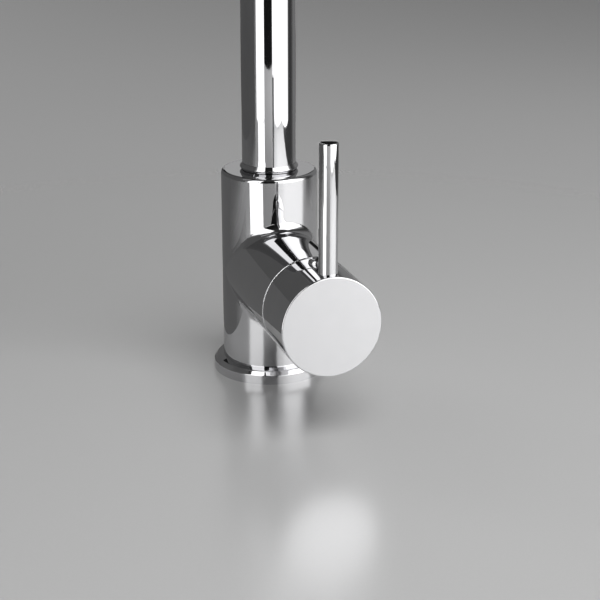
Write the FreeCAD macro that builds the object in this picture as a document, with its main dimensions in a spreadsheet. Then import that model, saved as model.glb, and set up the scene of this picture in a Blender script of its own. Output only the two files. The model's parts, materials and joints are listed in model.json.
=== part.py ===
"""Kitchen sink mixer with a swivel swan neck and a single lever on a horizontal side cartridge.

Frame: millimetres, +Z up, origin on the worktop at the axis of the round mixer body.
The handle axis is +X and the spout reaches towards -Y, where the user stands.
"""
import FreeCAD
import Part
import Sketcher
import math
import os

doc = FreeCAD.newDocument("sink_mixer")
sheet = doc.addObject("Spreadsheet::Sheet", "Sizes")

SIZES = [
    # mixer body and its foot
    ("body_radius", 25.0, "outside of the upright body"),
    ("body_height", 109.5, "top of the body above the worktop"),
    ("body_edge_round", 1.9, "rounding of the body's top edge"),
    ("junction_round", 5.0, "rounding where the side housing runs into the upright"),
    ("foot_cavity_radius", 20.5, "hollow in the foot that the hoses come up through"),
    ("foot_cavity_height", 26.0, "height of that hollow"),
    ("stud_spread", 31.0, "distance between the two fixing stud holes"),
    ("stud_hole_radius", 2.5, "tapping bore of the fixing stud holes"),
    ("stud_hole_depth", 18.0, "depth of the stud holes"),
    ("stud_boss_radius", 5.2, "boss round each stud hole"),
    ("inlet_spread", 19.0, "distance between the hot and cold inlets"),
    ("inlet_radius", 4.5, "tapping bore of the inlets"),
    ("inlet_depth", 12.0, "length of thread in the inlets"),
    ("riser_radius", 3.5, "drilled waterway above each inlet"),
    # base ring and gasket
    ("ring_width", 5.2, "how far the base ring stands out from the body"),
    ("ring_height", 7.6, "height of the ring where it meets the body"),
    ("ring_side", 4.9, "upright side of the ring"),
    ("ring_shoulder", 1.8, "shoulder between the ring's side and its sloped top"),
    ("ring_shoulder_height", 7.0, "height of that shoulder"),
    ("ring_edge_round", 0.5, "rounding of the ring's outer edge"),
    ("slip_clearance", 0.05, "radial clearance of pieces that slip over or into one another"),
    ("gasket_inset", 1.4, "wall of the ring inside its gasket"),
    ("gasket_width", 2.0, "width of the base gasket"),
    ("gasket_height", 2.0, "thickness of the gasket, level with the worktop"),
    # side housing for the cartridge
    ("side_step", 0.1, "side housing and handle cap slimmer than the body all round"),
    ("axis_height", 57.0, "handle axis above the worktop"),
    ("side_reach", 70.4, "end face of the side housing from the body axis"),
    ("seam_round", 0.5, "rounding on both sides of the seam"),
    ("seam_gap", 1.2, "gap between the side housing and the handle cap"),
    ("seat_reach", 20.0, "cartridge seat from the body axis"),
    ("nut_thread_radius", 19.0, "threaded mouth of the side housing"),
    ("nut_thread_length", 10.4, "depth of the threaded mouth"),
    # cartridge
    ("cartridge_radius", 17.5, "outside of the ceramic cartridge"),
    ("cartridge_wall", 1.9, "wall of the cartridge shell"),
    ("base_thickness", 4.5, "cartridge base with its three ports"),
    ("port_radius", 3.0, "bore of the ports"),
    ("inlet_port_side", 7.4, "inlet ports to each side of the handle axis"),
    ("inlet_port_rise", 4.25, "inlet ports above the handle axis"),
    ("outlet_port_drop", 6.0, "outlet port below the handle axis"),
    ("port_seal_radius", 4.9, "outside of the port seals"),
    ("port_seal_depth", 1.5, "depth of the port seals"),
    ("fixed_disc_thickness", 4.0, "fixed ceramic disc"),
    ("disc_film", 0.1, "gap between sliding faces"),
    ("moving_disc_radius", 11.8, "moving ceramic disc"),
    ("moving_disc_thickness", 3.8, "thickness of the moving disc"),
    ("mixing_pocket_radius", 9.3, "mixing chamber in the moving disc"),
    ("mixing_pocket_top", 1.0, "straight upper edge of the chamber above the axis"),
    ("mixing_pocket_depth", 2.0, "depth of the chamber"),
    ("slider_thickness", 5.2, "plastic slider that carries the moving disc"),
    ("rail_height", 2.4, "guide rails on the slider"),
    ("rail_inner", 5.5, "inside of each rail from the middle"),
    ("rail_width", 2.5, "width of each rail"),
    ("rail_length", 16.0, "length of the rails"),
    ("guide_clearance", 0.3, "clearance of guides, bores and faces inside the cartridge"),
    ("carrier_neck_radius", 11.5, "front neck of the turning carrier"),
    ("carrier_neck_length", 2.5, "neck past the shell's front wall"),
    ("shell_front_wall", 3.5, "front wall of the cartridge shell"),
    ("stem_slot_down", 10.8, "stem slot below the axis"),
    ("stem_slot_up", 7.2, "stem slot above the axis"),
    # lever mechanism
    ("pivot_depth", 25.0, "tilt pivot behind the end face of the housing"),
    ("pin_radius", 1.5, "tilt pin"),
    ("pin_length", 26.0, "length of the tilt pin"),
    ("stem_radius", 4.0, "stem between pivot and handle"),
    ("ball_depth", 2.2, "middle of the ball behind the slider's face"),
    ("stem_ball_radius", 2.6, "ball that pushes the slider"),
    ("stem_neck_radius", 1.6, "neck of the ball"),
    ("stem_shoulder", 3.8, "start of the thick stem behind the pivot"),
    ("stem_reach", 37.0, "front end of the stem ahead of the pivot"),
    # clamping nut
    ("nut_length", 9.3, "cartridge nut"),
    ("nut_inner_radius", 14.6, "opening of the nut"),
    ("nut_notch_width", 4.0, "spanner notches"),
    ("nut_notch_depth", 2.6, "depth of the notches"),
    # handle
    ("cap_length", 31.0, "handle cap along its axis"),
    ("cap_edge", 0.6, "rounding round the end face"),
    ("cap_rim_wall", 0.95, "thin wall at the seam"),
    ("cap_wall", 3.0, "wall of the cap further in"),
    ("cap_rim_depth", 5.2, "length of the thinning"),
    ("cap_end_wall", 4.0, "end wall of the cap"),
    ("hub_radius", 7.0, "hub round the stem"),
    ("hub_setback", 4.6, "hub behind the seam edge"),
    ("foot_chamfer", 0.4, "chamfer at the ends of the stem, the lever's foot and the plug"),
    ("lever_inset", 6.6, "lever axis behind the end face"),
    ("lever_radius", 4.6, "lever rod"),
    ("lever_top", 144.8, "top of the lever above the worktop"),
    ("lever_edge", 0.5, "chamfer of the lever's top"),
    ("lever_seat", 3.0, "how deep the rod sits in the cap"),
    ("lever_stud_radius", 3.0, "threaded foot of the lever"),
    ("lever_stud_length", 9.0, "length of that foot"),
    ("lever_boss_radius", 6.5, "boss that the foot screws into"),
    ("grub_setback", 7.9, "grub screw behind the seam edge"),
    ("grub_radius", 2.5, "grub screw"),
    ("grub_key", 1.25, "key hole of the grub screw, half its width"),
    ("plug_radius", 4.25, "domed plug over the grub screw"),
    ("plug_proud", 2.5, "how far the dome stands out"),
    ("plug_dome", 2.2, "rounding of the dome"),
    ("plug_seat", 0.8, "counterbore for the plug's head"),
    # spout
    ("tube_radius", 14.0, "outside of the spout tube"),
    ("tube_wall", 1.2, "wall of the spout tube"),
    ("bend_start", 265.0, "where the swan neck starts to bend"),
    ("bend_radius", 90.0, "bend of the swan neck at its middle line"),
    ("drop_length", 25.0, "straight end of the tube below the bend"),
    ("collar_radius", 15.3, "bead-shaped ring at the foot of the tube, at its widest"),
    ("collar_edge_radius", 14.35, "radius of the ring's upper and lower edges"),
    ("collar_height", 3.4, "height of the ring"),
    ("collar_middle", 1.4, "widest place of the ring above its foot"),
    ("collar_round", 0.7, "rounding of that widest place"),
    ("swivel_gap", 0.2, "gap under the swivelling spout"),
    ("socket_radius", 12.0, "socket for the spout in the body"),
    ("socket_depth", 26.0, "depth of the socket"),
    ("ferrule_bore", 7.0, "waterway through the ferrule"),
    ("ferrule_rise", 14.0, "ferrule inside the tube"),
    ("ferrule_clear", 1.5, "ferrule above the socket's floor"),
    ("oring_radius", 1.0, "half the thickness of the spout seals"),
    ("oring_groove", 2.6, "width of the grooves for the spout seals"),
    ("oring_low", 11.0, "lower seal above the socket's floor"),
    ("oring_high", 17.0, "upper seal above the socket's floor"),
    ("lock_height", 5.5, "lock screw above the socket's floor"),
    ("lock_radius", 2.0, "lock screw in the back of the body"),
    ("lock_key", 1.0, "key hole of the lock screw, half its width"),
    ("lock_tip_radius", 1.2, "tip of the lock screw in the ferrule's groove"),
    ("lock_groove_depth", 1.6, "depth of that groove"),
    ("outlet_riser_offset", 9.0, "mixed water riser behind the body axis"),
    ("outlet_riser_radius", 4.2, "mixed water riser"),
    ("slip_ring_height", 5.0, "plastic bearing at the mouth of the socket"),
    ("slip_ring_wall", 1.2, "wall of that bearing"),
    # aerator
    ("aerator_ring_height", 7.0, "visible ring of the aerator housing"),
    ("aerator_shank", 9.0, "threaded part inside the tube"),
    ("aerator_bore", 10.2, "bore of the housing"),
    ("aerator_lip", 1.2, "lip that holds the insert"),
    ("aerator_mouth", 8.8, "open mouth below the lip"),
    ("insert_height", 9.0, "plastic jet insert"),
    ("jet_radius", 0.75, "jet holes"),
    ("jet_ring", 3.1, "distance between the rings of jets"),
    ("seal_height", 1.6, "rubber washer above the insert"),
]

INNER_JET_COUNT = 6
OUTER_JET_COUNT = 12
NUT_NOTCHES = 6
SEAL_SIDES = 8

# Edges closer than this, in millimetres, are taken to be in the same place.
SAME_PLACE = 1e-4

for row, (alias, length, meaning) in enumerate(SIZES, start=1):
    sheet.set(f"A{row}", meaning)
    sheet.set(f"B{row}", str(length))
    sheet.setAlias(f"B{row}", alias)
doc.recompute()

# Places that several pieces share, worked out from the sizes above.
RING_RADIUS = "(Sizes.body_radius + Sizes.ring_width)"
GASKET_INNER = "(Sizes.body_radius + Sizes.gasket_inset)"
GASKET_OUTER = f"({GASKET_INNER} + Sizes.gasket_width)"
SIDE_RADIUS = "(Sizes.body_radius - Sizes.side_step)"
SIDE_END = "Sizes.side_reach"
CAP_START = f"({SIDE_END} + Sizes.seam_gap)"
CAP_END = f"({CAP_START} + Sizes.cap_length)"
PIVOT = f"({SIDE_END} - Sizes.pivot_depth)"
FIXED_DISC = "(Sizes.seat_reach + Sizes.base_thickness)"
MOVING_DISC = f"({FIXED_DISC} + Sizes.fixed_disc_thickness + Sizes.disc_film)"
SLIDER = f"({MOVING_DISC} + Sizes.moving_disc_thickness)"
SLIDER_END = f"({SLIDER} + Sizes.slider_thickness)"
BALL = f"({SLIDER_END} - Sizes.ball_depth)"
CARRIER = f"({SLIDER_END} + Sizes.guide_clearance)"
SHELL_END = f"({SIDE_END} - Sizes.nut_thread_length)"
SHELL_INNER = "(Sizes.cartridge_radius - Sizes.cartridge_wall)"
LEVER_X = f"({CAP_END} - Sizes.lever_inset)"
GRUB_X = f"({CAP_START} + Sizes.grub_setback)"
CAP_INNER = f"({SIDE_RADIUS} - Sizes.cap_wall)"
SOCKET_FLOOR = "(Sizes.body_height - Sizes.socket_depth)"
SPOUT_FOOT = "(Sizes.body_height + Sizes.swivel_gap)"
TUBE_INNER = "(Sizes.tube_radius - Sizes.tube_wall)"
FERRULE_RADIUS = "(Sizes.socket_radius - Sizes.slip_clearance)"
SPOUT_REACH = "(2 * Sizes.bend_radius)"
TUBE_END = "(Sizes.bend_start - Sizes.drop_length)"

QUARTER = {
    "+Z": FreeCAD.Rotation(),
    "-Z": FreeCAD.Rotation(FreeCAD.Vector(1, 0, 0), 180),
    "+X": FreeCAD.Rotation(FreeCAD.Vector(0, 1, 0), 90),
    "+Y": FreeCAD.Rotation(FreeCAD.Vector(1, 0, 0), -90),
}
pieces = []


def value(text):
    """Number behind a size expression."""
    return float(sheet.evalExpression(text))


def new_piece(label, height="0"):
    """Empty body for one piece; height lifts it, so that pieces on the handle axis use local z = 0."""
    body = doc.addObject("PartDesign::Body", label)
    body.Label = label
    if height != "0":
        body.setExpression("Placement.Base.z", height)
    pieces.append(body)
    return body


def plane(body, role):
    """Origin plane or axis of a body, by its role."""
    return next(feature for feature in body.Origin.OriginFeatures if feature.Role == role)


def new_sketch(body, name, role="XZ_Plane"):
    """Sketch on one of the body's own origin planes."""
    sketch = body.newObject("Sketcher::SketchObject", name)
    sketch.AttachmentSupport = [(plane(body, role), "")]
    sketch.MapMode = "FlatFace"
    return sketch


def pin_down(sketch, geometry, end, x, y):
    """Bind one end point of a line to two size expressions, measured from the sketch origin."""
    for kind, text, axis in (("DistanceX", x, -2), ("DistanceY", y, -1)):
        if text == "0":
            sketch.addConstraint(Sketcher.Constraint("PointOnObject", geometry, end, axis))
        else:
            rule = Sketcher.Constraint(kind, -1, 1, geometry, end, value(text))
            index = sketch.addConstraint(rule)
            sketch.setExpression(f"Constraints[{index}]", text)


def draw_outline(sketch, corners):
    """Closed outline of straight lines through corners given as pairs of size expressions."""
    points = [FreeCAD.Vector(value(x), value(y), 0) for x, y in corners]
    count = len(points)
    for i in range(count):
        sketch.addGeometry(Part.LineSegment(points[i], points[(i + 1) % count]), False)
    for i in range(count):
        sketch.addConstraint(Sketcher.Constraint("Coincident", i, 2, (i + 1) % count, 1))
    for i, (x, y) in enumerate(corners):
        pin_down(sketch, i, 1, x, y)


def turn(body, name, corners, axis="V_Axis", cut=False):
    """Turned form: the outline in the XZ plane goes round the Z axis (V_Axis) or the X axis (H_Axis)."""
    sketch = new_sketch(body, name + "_outline")
    draw_outline(sketch, corners)
    kind = "PartDesign::Groove" if cut else "PartDesign::Revolution"
    form = body.newObject(kind, name)
    form.Profile = sketch
    form.ReferenceAxis = (sketch, [axis])
    form.Angle = 360
    sketch.Visibility = False
    return form


def turned_piece(label, corners, axis="V_Axis", height="0"):
    """A whole piece that is one turned form."""
    body = new_piece(label, height)
    turn(body, label + "_turned", corners, axis)
    return body


def tube_outline(inner, outer, low, high):
    """Outline of a plain ring: radii, then the two ends along the axis."""
    return [(inner, low), (outer, low), (outer, high), (inner, high)]


def swap(corners):
    """The same outline with its two directions changed over, for turning round X."""
    return [(y, x) for x, y in corners]


def rod(body, name, radius, length, start, towards, cut=False):
    """Round bar or drilled hole that starts at a point and runs along one of the main directions."""
    kind = "PartDesign::SubtractiveCylinder" if cut else "PartDesign::AdditiveCylinder"
    bar = body.newObject(kind, name)
    bar.setExpression("Radius", radius)
    bar.setExpression("Height", length)
    bar.Placement = FreeCAD.Placement(FreeCAD.Vector(), QUARTER[towards])
    for letter, text in zip("xyz", start):
        if text != "0":
            bar.setExpression(f"Placement.Base.{letter}", text)
    return bar


def drill(body, name, radius, length, start, towards):
    """Drilled hole."""
    return rod(body, name, radius, length, start, towards, cut=True)


def block(body, name, size, start, cut=False):
    """Rectangular rib or slot with its lowest corner at start."""
    kind = "PartDesign::SubtractiveBox" if cut else "PartDesign::AdditiveBox"
    box = body.newObject(kind, name)
    for side, text in zip(("Length", "Width", "Height"), size):
        box.setExpression(side, text)
    for letter, text in zip("xyz", start):
        if text != "0":
            box.setExpression(f"Placement.Base.{letter}", text)
    return box


def ring_pattern(body, name, feature, count, axis="X_Axis"):
    """Copies of a feature spaced evenly round an axis."""
    pattern = body.newObject("PartDesign::PolarPattern", name)
    pattern.Originals = [feature]
    pattern.Axis = (plane(body, axis), [""])
    pattern.Angle = 360
    pattern.Occurrences = count
    body.Tip = pattern
    return pattern


def round_edges(body, name, radius, chosen):
    """Fillet on the edges of the body's last form that the test picks."""
    doc.recompute()
    base = body.Tip
    names = [f"Edge{i}" for i, edge in enumerate(base.Shape.Edges, start=1) if chosen(edge)]
    form = body.newObject("PartDesign::Fillet", name)
    form.Base = (base, names)
    form.setExpression("Radius", radius)
    return form


def ring_edge(radius, level, direction="z"):
    """Test for a full circular edge of a given radius at a given level along Z or X."""
    wanted_radius = value(radius)
    wanted_level = value(level)

    def chosen(edge):
        curve = edge.Curve
        if not isinstance(curve, Part.Circle):
            return False
        centre = curve.Center
        along = centre.z if direction == "z" else centre.x
        return abs(curve.Radius - wanted_radius) < SAME_PLACE and abs(along - wanted_level) < SAME_PLACE

    return chosen


def meeting_curve(edge):
    """Test for a curve along which two round forms meet."""
    return not isinstance(edge.Curve, (Part.Circle, Part.Line))


def make_mixer_body():
    """Upright brass body with the side housing, the waterways, the spout socket and the foot hollow."""
    body = new_piece("mixer_body")
    rod(body, "upright", "Sizes.body_radius", "Sizes.body_height", ("0", "0", "0"), "+Z")
    round_edges(body, "top_edge", "Sizes.body_edge_round", ring_edge("Sizes.body_radius", "Sizes.body_height"))
    sketch = new_sketch(body, "side_housing_outline")
    draw_outline(sketch, [
        ("0", "0"),
        (SIDE_END, "0"),
        (SIDE_END, SIDE_RADIUS),
        ("0", SIDE_RADIUS),
    ])
    sketch.setExpression("AttachmentOffset.Base.y", "Sizes.axis_height")
    housing = body.newObject("PartDesign::Revolution", "side_housing")
    housing.Profile = sketch
    housing.ReferenceAxis = (sketch, ["H_Axis"])
    housing.Angle = 360
    round_edges(body, "junction", "Sizes.junction_round", meeting_curve)
    round_edges(body, "seam_edge", "Sizes.seam_round", ring_edge(SIDE_RADIUS, SIDE_END, "x"))
    drill(body, "cartridge_bore", "Sizes.cartridge_radius + Sizes.guide_clearance",
          f"{SIDE_END} - Sizes.seat_reach", ("Sizes.seat_reach", "0", "Sizes.axis_height"), "+X")
    drill(body, "nut_thread", "Sizes.nut_thread_radius", "Sizes.nut_thread_length",
          (SHELL_END, "0", "Sizes.axis_height"), "+X")
    drill(body, "spout_socket", "Sizes.socket_radius", "Sizes.socket_depth", ("0", "0", SOCKET_FLOOR), "+Z")
    drill(body, "bearing_seat", "Sizes.socket_radius + Sizes.slip_ring_wall", "Sizes.slip_ring_height",
          ("0", "0", "Sizes.body_height - Sizes.slip_ring_height"), "+Z")
    drill(body, "foot_hollow", "Sizes.foot_cavity_radius", "Sizes.foot_cavity_height", ("0", "0", "0"), "+Z")
    for side_name, sign in (("left", "-"), ("right", "")):
        stud = f"{sign}Sizes.stud_spread / 2"
        rod(body, f"stud_boss_{side_name}", "Sizes.stud_boss_radius", "Sizes.foot_cavity_height",
            (stud, "0", "0"), "+Z")
        drill(body, f"stud_hole_{side_name}", "Sizes.stud_hole_radius", "Sizes.stud_hole_depth",
              (stud, "0", "0"), "+Z")
    inlet_port_height = "Sizes.axis_height + Sizes.inlet_port_rise"
    for water, sign in (("hot", "-"), ("cold", "")):
        inlet = f"{sign}Sizes.inlet_spread / 2"
        drill(body, f"{water}_inlet", "Sizes.inlet_radius", "Sizes.inlet_depth",
              ("0", inlet, "Sizes.foot_cavity_height"), "+Z")
        drill(body, f"{water}_riser", "Sizes.riser_radius",
              f"{inlet_port_height} - Sizes.foot_cavity_height", ("0", inlet, "Sizes.foot_cavity_height"), "+Z")
        drill(body, f"{water}_port", "Sizes.port_radius", "Sizes.seat_reach",
              ("0", f"{sign}Sizes.inlet_port_side", inlet_port_height), "+X")
    outlet_height = "Sizes.axis_height - Sizes.outlet_port_drop"
    drill(body, "mixed_port", "Sizes.port_radius", "Sizes.seat_reach + Sizes.outlet_riser_offset",
          ("-Sizes.outlet_riser_offset", "0", outlet_height), "+X")
    drill(body, "mixed_riser", "Sizes.outlet_riser_radius", f"{SOCKET_FLOOR} - ({outlet_height})",
          ("-Sizes.outlet_riser_offset", "0", outlet_height), "+Z")
    drill(body, "lock_hole", "Sizes.lock_radius + Sizes.slip_clearance", "Sizes.body_radius",
          ("0", "0", f"{SOCKET_FLOOR} + Sizes.lock_height"), "+Y")
    return body


def make_base_ring():
    """Chromed ring that covers the edge of the worktop hole, with a groove for its gasket."""
    inner = "Sizes.body_radius + Sizes.slip_clearance"
    corners = [
        (inner, "0"),
        (GASKET_INNER, "0"),
        (GASKET_INNER, "Sizes.gasket_height"),
        (GASKET_OUTER, "Sizes.gasket_height"),
        (GASKET_OUTER, "0"),
        (RING_RADIUS, "0"),
        (RING_RADIUS, "Sizes.ring_side"),
        (f"{RING_RADIUS} - Sizes.ring_shoulder", "Sizes.ring_shoulder_height"),
        (inner, "Sizes.ring_height"),
    ]
    ring = turned_piece("base_ring", corners)
    round_edges(ring, "ring_edge", "Sizes.ring_edge_round", ring_edge(RING_RADIUS, "Sizes.ring_side"))


def make_base_gasket():
    """Rubber gasket in the groove of the base ring."""
    turned_piece("base_gasket", tube_outline(GASKET_INNER, GASKET_OUTER, "0", "Sizes.gasket_height"))


def make_cartridge_base():
    """Plastic base of the cartridge with two inlet ports, one outlet port and their seal seats."""
    body = turned_piece("cartridge_base", swap(tube_outline("0", "Sizes.cartridge_radius", "Sizes.seat_reach",
                                                            FIXED_DISC)), "H_Axis", "Sizes.axis_height")
    for name, side, rise in port_places():
        drill(body, f"{name}_seal_seat", "Sizes.port_seal_radius", "Sizes.port_seal_depth",
              ("Sizes.seat_reach", side, rise), "+X")
        drill(body, f"{name}_port_bore", "Sizes.port_radius", "Sizes.base_thickness",
              ("Sizes.seat_reach", side, rise), "+X")


def port_places():
    """Name, sideways and upward place of the three ports about the handle axis."""
    return [
        ("hot", "-Sizes.inlet_port_side", "Sizes.inlet_port_rise"),
        ("cold", "Sizes.inlet_port_side", "Sizes.inlet_port_rise"),
        ("mixed", "0", "-Sizes.outlet_port_drop"),
    ]


def make_port_seals():
    """Three rubber rings in the back of the cartridge base, one node."""
    rings = []
    for name, side, rise in port_places():
        outer = doc.addObject("Part::Cylinder", f"{name}_seal_outer")
        outer.setExpression("Radius", "Sizes.port_seal_radius - Sizes.slip_clearance")
        inner = doc.addObject("Part::Cylinder", f"{name}_seal_inner")
        inner.setExpression("Radius", "Sizes.port_radius")
        for bar in (outer, inner):
            bar.setExpression("Height", "Sizes.port_seal_depth")
            bar.Placement = FreeCAD.Placement(FreeCAD.Vector(), QUARTER["+X"])
            bar.setExpression("Placement.Base.x", "Sizes.seat_reach")
            bar.setExpression("Placement.Base.y", side)
            bar.setExpression("Placement.Base.z", f"Sizes.axis_height + {rise}")
        ring = doc.addObject("Part::Cut", f"{name}_seal")
        ring.Base = outer
        ring.Tool = inner
        rings.append(ring)
    seals = doc.addObject("Part::Compound", "port_seals")
    seals.Label = "port_seals"
    seals.Links = rings
    pieces.append(seals)


def make_cartridge_shell():
    """Plastic shell of the cartridge; its front wall holds the turning carrier in."""
    neck = "Sizes.carrier_neck_radius + Sizes.guide_clearance"
    corners = [
        (FIXED_DISC, SHELL_INNER),
        (f"{SHELL_END} - Sizes.shell_front_wall", SHELL_INNER),
        (f"{SHELL_END} - Sizes.shell_front_wall", neck),
        (SHELL_END, neck),
        (SHELL_END, "Sizes.cartridge_radius"),
        (FIXED_DISC, "Sizes.cartridge_radius"),
    ]
    turned_piece("cartridge_shell", corners, "H_Axis", "Sizes.axis_height")


def make_fixed_disc():
    """Ceramic disc with the three ports, held still against the base."""
    outline = swap(tube_outline("0", f"{SHELL_INNER} - Sizes.guide_clearance", FIXED_DISC,
                                f"{FIXED_DISC} + Sizes.fixed_disc_thickness"))
    body = turned_piece("fixed_disc", outline, "H_Axis", "Sizes.axis_height")
    for name, side, rise in port_places():
        drill(body, f"{name}_disc_port", "Sizes.port_radius", "Sizes.fixed_disc_thickness",
              (FIXED_DISC, side, rise), "+X")


def make_moving_disc():
    """Ceramic disc whose D-shaped chamber joins the inlets to the outlet as it slides up."""
    outline = swap(tube_outline("0", "Sizes.moving_disc_radius", MOVING_DISC, SLIDER))
    body = turned_piece("moving_disc", outline, "H_Axis", "Sizes.axis_height")
    sketch = new_sketch(body, "mixing_chamber_outline", "YZ_Plane")
    sketch.setExpression("AttachmentOffset.Base.z", MOVING_DISC)
    radius = value("Sizes.mixing_pocket_radius")
    top = value("Sizes.mixing_pocket_top")
    half = math.sqrt(radius ** 2 - top ** 2)
    start = math.atan2(top, -half)
    end = math.atan2(top, half) + 2 * math.pi
    circle = Part.Circle(FreeCAD.Vector(), FreeCAD.Vector(0, 0, 1), radius)
    sketch.addGeometry(Part.ArcOfCircle(circle, start, end), False)
    edge = Part.LineSegment(FreeCAD.Vector(half, top, 0), FreeCAD.Vector(-half, top, 0))
    sketch.addGeometry(edge, False)
    sketch.addConstraint(Sketcher.Constraint("Coincident", 0, 3, -1, 1))
    sketch.addConstraint(Sketcher.Constraint("Coincident", 0, 2, 1, 1))
    sketch.addConstraint(Sketcher.Constraint("Coincident", 1, 2, 0, 1))
    sketch.addConstraint(Sketcher.Constraint("Horizontal", 1))
    index = sketch.addConstraint(Sketcher.Constraint("Radius", 0, radius))
    sketch.setExpression(f"Constraints[{index}]", "Sizes.mixing_pocket_radius")
    index = sketch.addConstraint(Sketcher.Constraint("DistanceY", -1, 1, 1, 1, top))
    sketch.setExpression(f"Constraints[{index}]", "Sizes.mixing_pocket_top")
    chamber = body.newObject("PartDesign::Pocket", "mixing_chamber")
    chamber.Profile = sketch
    chamber.setExpression("Length", "Sizes.mixing_pocket_depth")
    chamber.Reversed = True
    sketch.Visibility = False


def make_disc_slider():
    """Plastic slider that carries the moving disc, with two guide rails and a socket for the ball."""
    outline = swap(tube_outline("0", "Sizes.moving_disc_radius", SLIDER, SLIDER_END))
    body = turned_piece("disc_slider", outline, "H_Axis", "Sizes.axis_height")
    for side_name, start in (("left", "-Sizes.rail_inner - Sizes.rail_width"), ("right", "Sizes.rail_inner")):
        block(body, f"rail_{side_name}", ("Sizes.rail_height", "Sizes.rail_width", "Sizes.rail_length"),
              (SLIDER_END, start, "-Sizes.rail_length / 2"))
    socket_floor = f"({BALL} - Sizes.stem_ball_radius - Sizes.guide_clearance)"
    drill(body, "ball_socket", "Sizes.stem_ball_radius + Sizes.slip_clearance * 2",
          f"{SLIDER_END} - {socket_floor}", (socket_floor, "0", "0"), "+X")


def make_cartridge_carrier():
    """Turning carrier: it guides the slider, holds the tilt pin and has the slot that the stem tilts in."""
    shell_front = f"({SHELL_END} - Sizes.shell_front_wall - Sizes.guide_clearance)"
    wide = f"({SHELL_INNER} - Sizes.guide_clearance)"
    corners = [
        (CARRIER, "0"),
        (f"{SHELL_END} + Sizes.carrier_neck_length", "0"),
        (f"{SHELL_END} + Sizes.carrier_neck_length", "Sizes.carrier_neck_radius"),
        (shell_front, "Sizes.carrier_neck_radius"),
        (shell_front, wide),
        (CARRIER, wide),
    ]
    body = turned_piece("cartridge_carrier", corners, "H_Axis", "Sizes.axis_height")
    reach = f"({SHELL_END} + Sizes.carrier_neck_length - {CARRIER})"
    block(body, "stem_slot", (reach, "2 * (Sizes.stem_radius + Sizes.guide_clearance)",
                              "Sizes.stem_slot_down + Sizes.stem_slot_up"),
          (CARRIER, "-Sizes.stem_radius - Sizes.guide_clearance", "-Sizes.stem_slot_down"), cut=True)
    channel = ("Sizes.rail_height", "Sizes.rail_width + 2 * Sizes.guide_clearance",
               "2 * Sizes.cartridge_radius")
    for side_name, start in (("left", "-Sizes.rail_inner - Sizes.rail_width - Sizes.guide_clearance"),
                             ("right", "Sizes.rail_inner - Sizes.guide_clearance")):
        block(body, f"rail_channel_{side_name}", channel, (CARRIER, start, "-Sizes.cartridge_radius"), cut=True)
    drill(body, "pin_bore", "Sizes.pin_radius + Sizes.slip_clearance / 2", "Sizes.pin_length",
          (PIVOT, "-Sizes.pin_length / 2", "0"), "+Y")


def make_tilt_pin():
    """Steel pin across the carrier that the stem tilts on."""
    body = new_piece("tilt_pin", "Sizes.axis_height")
    rod(body, "pin_bar", "Sizes.pin_radius", "Sizes.pin_length", (PIVOT, "-Sizes.pin_length / 2", "0"), "+Y")


def make_cartridge_nut():
    """Brass nut with spanner notches that clamps the cartridge on its seat."""
    outline = swap(tube_outline("Sizes.nut_inner_radius", "Sizes.nut_thread_radius - Sizes.slip_clearance",
                                SHELL_END, f"{SHELL_END} + Sizes.nut_length"))
    body = turned_piece("cartridge_nut", outline, "H_Axis", "Sizes.axis_height")
    notch = block(body, "spanner_notch", ("Sizes.nut_notch_depth", "Sizes.nut_notch_width",
                                          "Sizes.nut_thread_radius"),
                  (f"{SHELL_END} + Sizes.nut_length - Sizes.nut_notch_depth", "-Sizes.nut_notch_width / 2", "0"),
                  cut=True)
    ring_pattern(body, "spanner_notches", notch, NUT_NOTCHES)


def make_handle_stem():
    """Steel stem: ball, neck, cross bore for the tilt pin and the round end that the handle clamps on."""
    back = f"({PIVOT} - Sizes.stem_shoulder)"
    front = f"({PIVOT} + Sizes.stem_reach)"
    corners = [
        (BALL, "0"),
        (front, "0"),
        (front, "Sizes.stem_radius - Sizes.foot_chamfer"),
        (f"{front} - Sizes.foot_chamfer", "Sizes.stem_radius"),
        (back, "Sizes.stem_radius"),
        (back, "Sizes.stem_neck_radius"),
        (BALL, "Sizes.stem_neck_radius"),
    ]
    body = turned_piece("handle_stem", corners, "H_Axis", "Sizes.axis_height")
    ball = body.newObject("PartDesign::AdditiveSphere", "stem_ball")
    ball.setExpression("Radius", "Sizes.stem_ball_radius")
    ball.setExpression("Placement.Base.x", BALL)
    drill(body, "tilt_bore", "Sizes.pin_radius + Sizes.slip_clearance", "2 * Sizes.stem_radius",
          (PIVOT, "-Sizes.stem_radius", "0"), "+Y")


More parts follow.
